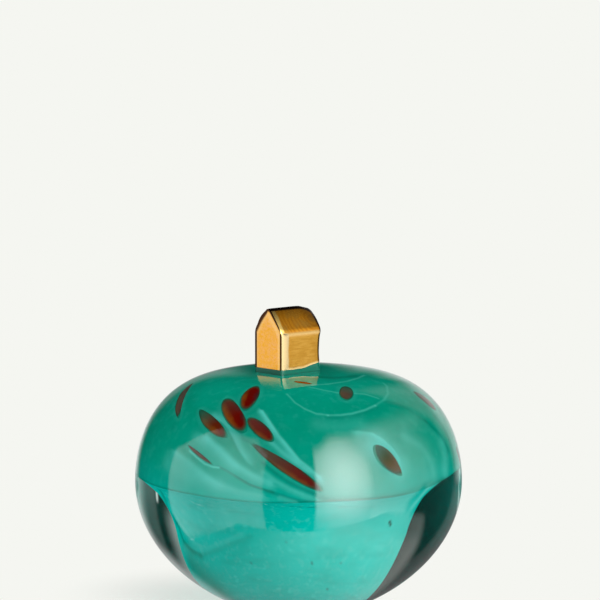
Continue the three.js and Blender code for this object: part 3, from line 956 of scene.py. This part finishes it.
def house_section(inset, low):
    """The gable's outline as (across, up), from one wall's foot over the ridge to the other's."""
    half = HOUSE_WIDTH / 2 - inset
    eaves = WALL_HEIGHT + inset * math.tan(ROOF_PITCH) - inset * ROOF_TURN_IN / math.cos(ROOF_PITCH)
    corners = [Vector((half, eaves)), Vector((0, eaves + half * math.tan(ROOF_PITCH))),
               Vector((-half, eaves))]
    ends = [Vector((half, low)), *corners, Vector((-half, low))]
    points = [ends[0].lerp(ends[1] - Vector((0, EAVE_ROUND)), row / WALL_ROWS) for row in range(WALL_ROWS)]
    for before, corner, after in zip(ends, ends[1:], ends[2:]):
        start = corner + (before - corner).normalized() * EAVE_ROUND
        end = corner + (after - corner).normalized() * EAVE_ROUND
        if corner is not corners[0]:
            slope_start = points[-1]
            swell = Vector((slope_start.y - start.y, start.x - slope_start.x)).normalized()
            bulge = SLOPE_BULGE if corner is corners[2] else REAR_SLOPE_BULGE
            for step in range(1, SLOPE_STEPS):
                share = step / SLOPE_STEPS
                outward_by = bulge * math.sin(share * math.pi)
                points.append(slope_start.lerp(start, share) - swell * outward_by)
        for step in range(EAVE_STEPS + 1):
            share = step / EAVE_STEPS
            points.append(start.lerp(corner, share).lerp(corner.lerp(end, share), share))
    last = points[-1]
    points += [last.lerp(ends[-1], row / WALL_ROWS) for row in range(1, WALL_ROWS + 1)]
    return points


def house_stations():
    """(along the ridge, inset) from one gable end to the other: the sides turn in to each end."""
    half = HOUSE_LENGTH / 2

    def rounded_end(turn_in, inset):
        rows = [(half, inset + GABLE_BORDER)]
        for step in range(GABLE_STEPS + 1):
            bend = step / GABLE_STEPS * math.pi / 2
            rows.append((half - turn_in * (1 - math.cos(bend)), inset * (1 - math.sin(bend))))
        return rows

    near = [(-along, inset) for along, inset in rounded_end(GABLE_TURN_IN, GABLE_INSET)]
    middle = [(step / 4 * (half - GABLE_TURN_IN), 0.0) for step in range(-3, 4)]
    return near + middle + rounded_end(REAR_TURN_IN, REAR_INSET)[::-1]


def house_point(along, across, up):
    """A point of the house: along the ridge, across it and up from the top of the ball."""
    roof = min(max((up - WALL_HEIGHT + EAVE_ROUND) / (RIDGE_HEIGHT - WALL_HEIGHT + EAVE_ROUND), 0), 1)
    end = along / (HOUSE_LENGTH / 2)
    up -= RIDGE_DROOP * roof ** 2 * max(end, 0.0) ** DROOP_POWER
    if end > 0:
        wall = min(max(up / WALL_HEIGHT, 0), 1)
        along += (REAR_LEAN * roof - REAR_HOLLOW * math.sin(wall * math.pi)) * end
    else:
        along += GABLE_SKEW * across * end
    ridge = Vector((math.cos(HOUSE_TURN), math.sin(HOUSE_TURN)))
    side = Vector((-ridge.y, ridge.x))
    flat = HOUSE_PLACE + ridge * along + side * across
    return (flat.x, flat.y, BALL_TOP + up)


def gold_edge(along, across):
    """How high above the ball's top the gold ends, round the house's foot."""
    share = along / (HOUSE_LENGTH / 2)
    lifted = GOLD_LIFT + GOLD_REAR_LIFT * max(0.0, share) * (across < 0)
    place = Vector((along, across, 0)) * RAGGED_SCALE
    ragged = RAGGED_SIZE + RAGGED_MORE_REAR * max(0.0, share)
    return lifted + ragged * noise.noise(place) + RAGGED_FINE * noise.noise(place * 3.1)


def loft(name, rings, material):
    """A closed tube over rings of points, with its faces outward and its corners sharp."""
    size = len(rings[0])
    vertices = [point for ring in rings for point in ring]
    faces = []
    for start in range(0, len(vertices) - size, size):
        for step in range(size):
            here, after = start + step, start + (step + 1) % size
            faces.append((here, after, after + size, here + size))
    faces.append(tuple(reversed(range(size))))
    faces.append(tuple(range(len(vertices) - size, len(vertices))))
    piece = add_object(name, vertices, faces, material)
    turn_outward(piece.data)
    piece.data.shade_smooth()
    piece.data.set_sharp_from_angle(angle=math.radians(HOUSE_SMOOTH_UNDER))
    return piece


def make_house(material):
    """The house's skin, lofted over its stations down to the ragged edge of the gold."""
    rings, edge = [], []
    for along, inset in house_stations():
        ring = []
        for point in house_section(inset, 0.0):
            low = gold_edge(along, point.x)
            on_wall = point.y < WALL_HEIGHT
            up = low + (WALL_HEIGHT - low) * point.y / WALL_HEIGHT if on_wall else point.y
            ring.append(house_point(along, point.x, up))
            edge.append(1.0 if point.y == 0 else 0.0)
        rings.append(ring)
    piece = loft("house_gold", rings, material)
    keep_layers(piece.data, {"edge": np.array(edge)})
    return piece


def make_house_foot(material):
    """The bit of glass under the gold, let a little into the ball."""
    rings = []
    for along, inset in house_stations():
        half = HOUSE_WIDTH / 2 - inset - STUB_MARGIN
        right, left = [gold_edge(along, across) + STUB_OVERLAP for across in (half, -half)]
        corners = ((half, right), (-half, left), (-half, -STUB_SUNK), (half, -STUB_SUNK))
        rings.append([house_point(along * STUB_LENGTH, across, up) for across, up in corners])
    return loft("foot_bit", rings, material)


# The stage: floor, studio light and camera

PALE = colour(245, 246, 241)
FLOOR_HALF = 9.0
FLOOR_COLOUR = (0.86, 0.868, 0.855, 1)
FLOOR_LIT = 0.79
SHADE_MIDDLE = (-0.024, 0.010, 0.0)
SHADE_STRENGTH = 0.42
SHADE_REACH = 0.052

# The table top that gloss and glass see, in metres, and how its light changes to the right
TABLE_ACROSS = (-0.058, 0.115)
TABLE_DEEP = (-0.085, -0.012)
TABLE_SOFT = 0.003
TABLE_RIGHT_SOFT = 0.02
TABLE_LIGHT = 0.25
TABLE_LIGHT_RIGHT = 1.75
TABLE_GROWS = (-0.045, 0.025)
TABLE_FAR_LESS = 0.4
TABLE_FADES = (0.045, 0.075)
UNDER_BALL = 0.005
OUT_OF_SHADE = 0.06

# Light on what lies inside the glass, and how much more of it comes from the right
EVEN_LIGHT = 1.0
EVEN_FROM_RIGHT = 0.07

# How bright each part of the studio is
BOX_LEVEL = 1.45
BOX_DIP = 0.55
LAMP_LEVEL = 10.8
WALL_LEVEL = 3.3
PATCH_LESS = 0.85
DIM_LEVEL = 0.075
FILL_LEVEL = 0.34
HORIZON_LEVEL = 0.05
GLINT_LEVEL = 0.9
SWEEP_LEVEL = 0.74
LEFT_SWEEP_LEVEL = 0.27
GROUND_LEVEL = 0.2
DARK_LEVEL = 0.006


def make_floor():
    """A pale floor with the object's shadow for the camera, and a table top for the rest."""
    half = FLOOR_HALF
    corners = [(-half, -half, 0), (half, -half, 0), (half, half, 0), (-half, half, 0)]
    material, nodes = new_material("floor_pale")
    spot = nodes.add("TexCoord").outputs["Object"]
    path = nodes.add("LightPath").outputs
    surface = {0: path["Is Camera Ray"], 1: table_top(nodes, spot, path), 2: shaded_floor(nodes, spot)}
    nodes.add("OutputMaterial", {"Surface": nodes.add("MixShader", surface)})
    add_object("floor", corners, [(0, 1, 2, 3)], material)


def shaded_floor(nodes, spot):
    """The floor's colour with the shadow laid over it, strongest away from the lamps. The shaded
    share is lit by the scene, so what the object blocks of that light shows as well."""
    away = nodes.length(nodes.vector("SUBTRACT", spot, SHADE_MIDDLE))
    share = nodes.product(nodes.step(away, SHADE_REACH, 0.0), SHADE_STRENGTH)
    lit = nodes.add("BsdfDiffuse", {"Color": nodes.scaled(FLOOR_COLOUR[:3], share)})
    left_over = nodes.less(1.0, nodes.product(share, FLOOR_LIT / PALE[0]))
    glow = nodes.add("Emission", {"Color": PALE, "Strength": left_over})
    return nodes.add("AddShader", {0: lit, 1: glow})


def table_top(nodes, spot, path):
    """A lit table top that ends behind the object. Past its edges gloss and glass see the studio."""
    x, y, _ = nodes.parts(spot)
    (left, right), (front, back) = TABLE_ACROSS, TABLE_DEEP
    table = nodes.product(nodes.step(x, left - TABLE_SOFT, left + TABLE_SOFT),
                          nodes.step(x, right + TABLE_RIGHT_SOFT, right - TABLE_RIGHT_SOFT),
                          nodes.step(y, front - TABLE_SOFT, front + TABLE_SOFT),
                          nodes.step(y, back + 2 * TABLE_SOFT, back - 2 * TABLE_SOFT))
    lit = nodes.math("DIVIDE", nodes.less(nodes.length(spot), UNDER_BALL), OUT_OF_SHADE, clamp=True)
    level = nodes.plus(TABLE_LIGHT, nodes.product(nodes.step(x, *TABLE_GROWS), TABLE_LIGHT_RIGHT))
    faded = nodes.less(1.0, nodes.product(nodes.step(x, *TABLE_FADES), TABLE_FAR_LESS))
    gloss = nodes.add("Emission", {"Color": PALE, "Strength": nodes.product(level, faded, lit)})
    matte = nodes.add("BsdfDiffuse", {"Color": FLOOR_COLOUR})
    clear = nodes.add("BsdfTransparent")
    in_gloss, in_glass = path["Is Glossy Ray"], path["Is Transmission Ray"]
    top = nodes.add("MixShader", {0: in_gloss, 1: matte, 2: gloss})
    gone = nodes.product(nodes.math("MAXIMUM", in_gloss, in_glass), nodes.less(1.0, table))
    return nodes.add("MixShader", {0: gone, 1: top, 2: clear})


class Sky(Nodes):
    """The world's nodes, with short calls for soft edges. Azimuth goes from +Y towards +X and
    elevation up from the floor, in degrees. A pair is where an edge starts and where it is full."""

    def __init__(self, tree):
        super().__init__(tree)
        self.toward = self.add("TexCoord").outputs["Generated"]
        self.x, y, self.z = self.parts(self.toward)
        self.azimuth = self.product(self.math("ARCTAN2", self.x, y), 180 / math.pi)
        self.elevation = self.product(self.math("ARCSINE", self.z), 180 / math.pi)
        self.path = self.add("LightPath").outputs

    def around(self, start, full):
        return self.step(self.azimuth, start, full)

    def above(self, start, full):
        return self.step(self.elevation, start, full)

    def raised(self, *rises):
        """The elevation, with so many degrees added past each edge."""
        height = self.elevation
        for start, full, rise in rises:
            height = self.plus(height, self.product(self.around(start, full), rise))
        return height

    def under_wall_top(self):
        """1 below the top edge of the right-hand wall, which faces azimuth 105 and slopes."""
        facing, rise, soft = math.radians(105), 1.2, 0.24
        normal = (rise * math.sin(facing), rise * math.cos(facing), 0)
        return self.step(self.less(self.vector("DOT_PRODUCT", self.toward, normal), self.z), -soft, soft)


def left_box(sky):
    """The tall soft box on the left. Its top slopes down to both sides."""
    level = sky.less(BOX_LEVEL, sky.product(sky.hump(sky.azimuth, -106, 15), BOX_DIP))
    top = sky.step(sky.raised((-138, -156, 14), (-100, -76, 30)), 51, 45)
    return sky.product(sky.field(sky.azimuth, -155, -77, 1.5), sky.above(-42, -33), top, level)


def right_lamp(sky):
    """The bright lamp on the right, rounded off at its far top corner."""
    glow = sky.product(sky.hump(sky.azimuth, 147, 25), sky.hump(sky.elevation, 13, 36))
    top = sky.step(sky.raised((146, 168, 13)), 60, 44)
    return sky.product(glow, sky.field(sky.azimuth, 127, 168, 1.6), top, LAMP_LEVEL)


def right_wall(sky):
    """The wall that the lamp lights. It fades towards the back and has a darker patch."""
    fall = sky.math("EXPONENT", sky.math("DIVIDE", sky.less(sky.azimuth, 120), 37))
    lit = sky.product(fall, sky.under_wall_top(), WALL_LEVEL)
    patch = sky.product(sky.hump(sky.azimuth, 111, 8), sky.hump(sky.elevation, 21, 11), PATCH_LESS)
    edge = sky.step(sky.less(sky.azimuth, sky.product(sky.above(0, -12), 17)), 76, 84)
    near = sky.product(sky.less(1, patch), edge, sky.around(128, 126), sky.above(-42, -36))
    rear = sky.math("MAXIMUM", sky.around(57, 84), sky.above(18, 36))
    far = sky.product(sky.around(6, 24), sky.around(84, 76), sky.above(-7, -4), rear)
    return sky.product(lit, sky.plus(near, far))


def dim_lights(sky):
    """What both sides of the clear glass show: a dim wall, a fill, a horizon and a glint."""
    dim = sky.product(sky.field(sky.azimuth, 50, 74, 2), sky.above(-7, -4), sky.above(34, 16), DIM_LEVEL)
    fill = sky.product(sky.around(9, 21), sky.around(47, 37), sky.field(sky.elevation, 7, 42, 5),
                       FILL_LEVEL)
    horizon = sky.product(sky.field(sky.azimuth, 50, 80, 6), sky.hump(sky.elevation, 1, 6),
                          sky.above(-8, -4), HORIZON_LEVEL)
    glint = sky.product(sky.hump(sky.azimuth, 48.5, 0.8), sky.field(sky.elevation, 1, 5, 1),
                        sky.path["Is Transmission Ray"], GLINT_LEVEL)
    return sky.plus(sky.plus(dim, fill), sky.plus(horizon, glint))


def rear_sweep(sky):
    """The pale sweep behind the object, lower on its left, and the floor in front of it."""
    from_middle = sky.math("ABSOLUTE", sky.less(sky.azimuth, 6))
    top = sky.step(sky.raised((2.5, -1, 9), (2.5, 7, -5), (9, 14, -3)), 13, -2)
    sweep = sky.product(sky.step(from_middle, 37, 19), top, sky.above(-10, -7), SWEEP_LEVEL)
    left = sky.product(sky.around(-1, -4), sky.around(-27, -15), sky.above(18, 6), LEFT_SWEEP_LEVEL)
    ground = sky.product(sky.step(from_middle, 40, 30), sky.above(-7, -12), GROUND_LEVEL)
    return sky.plus(sky.plus(sweep, left), ground)


def make_studio():
    """The studio as one world. The camera sees plain paleness, and what lies inside the glass gets
    plain even light."""
    world = bpy.data.worlds.new("studio")
    bpy.context.scene.world = world
    world.use_nodes = True
    sky = Sky(world.node_tree)
    total = DARK_LEVEL
    for panel in (left_box, right_lamp, right_wall, dim_lights, rear_sweep):
        total = sky.plus(panel(sky), total)
    inside = sky.product(sky.path["Is Transmission Ray"], sky.step(sky.path["Diffuse Depth"], 0.4, 0.6))
    even = sky.plus(EVEN_LIGHT, sky.product(sky.x, EVEN_FROM_RIGHT))
    strength = sky.add("Mix", {0: inside, 2: total, 3: even}).outputs[0]
    studio = sky.add("Background", {"Color": (1, 1, 1, 1), "Strength": strength})
    plain = sky.add("Background", {"Color": PALE, "Strength": 1.0})
    both = sky.add("MixShader", {0: sky.path["Is Camera Ray"], 1: studio, 2: plain})
    sky.add("OutputWorld", {"Surface": both})


def make_camera():
    """The photograph's view: the middle of the ball's waist lands where the photograph has it."""
    focal_px = CAMERA_DISTANCE / (2 * BALL_RADIUS / BALL_WIDTH_PX)
    camera = bpy.data.objects.new("camera", bpy.data.cameras.new("camera"))
    bpy.context.scene.collection.objects.link(camera)
    camera.data.sensor_width = SENSOR
    camera.data.lens = SENSOR * focal_px / PHOTO_SIDE
    back = CAMERA_DISTANCE * math.cos(CAMERA_ELEVATION)
    camera.location = (0, -back, WAIST + CAMERA_DISTANCE * math.sin(CAMERA_ELEVATION))
    tilt = math.atan((WAIST_DOWN_PX - PHOTO_SIDE / 2) / focal_px) - CAMERA_ELEVATION
    pan = math.atan((WAIST_ACROSS_PX - PHOTO_SIDE / 2) / focal_px)
    camera.rotation_euler = (math.pi / 2 + tilt, 0, pan)
    bpy.context.scene.camera = camera


def place(piece, slot, *nodes):
    """Hands a piece over: the body it rides on and the nodes it stands for, which are hidden. slot, the
    material slot, is not used.
    """
    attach(piece, BODY)
    if nodes:
        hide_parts(*nodes)


bpy.context.scene.view_settings.view_transform = "Standard"
make_camera()
make_studio()
make_floor()

casing = make_casing(clear_glass("casing_clear"))
place(casing, "clear_glass", "clear_casing")
place(make_house_foot(foot_glass()), "clear_glass", "house_foot")
place(make_heart(heart_glass(), casing), "teal_heart_glass", "teal_heart")
chip_material = chip_glass()
chip_nodes = [node for node in sorted(frame["nodes"]) if node.startswith("chip_")]
chips = {node: make_chip(node, chip_material) for node in chip_nodes}
for node, chip in chips.items():
    place(chip, "chip_glass", node)
overlay = make_overlay(overlay_glass(), casing, list(chips.values()))
place(overlay, "teal_overlay_glass", "teal_overlay")
place(make_house(gold_lustre()), "gold_lustre", "gold_house")
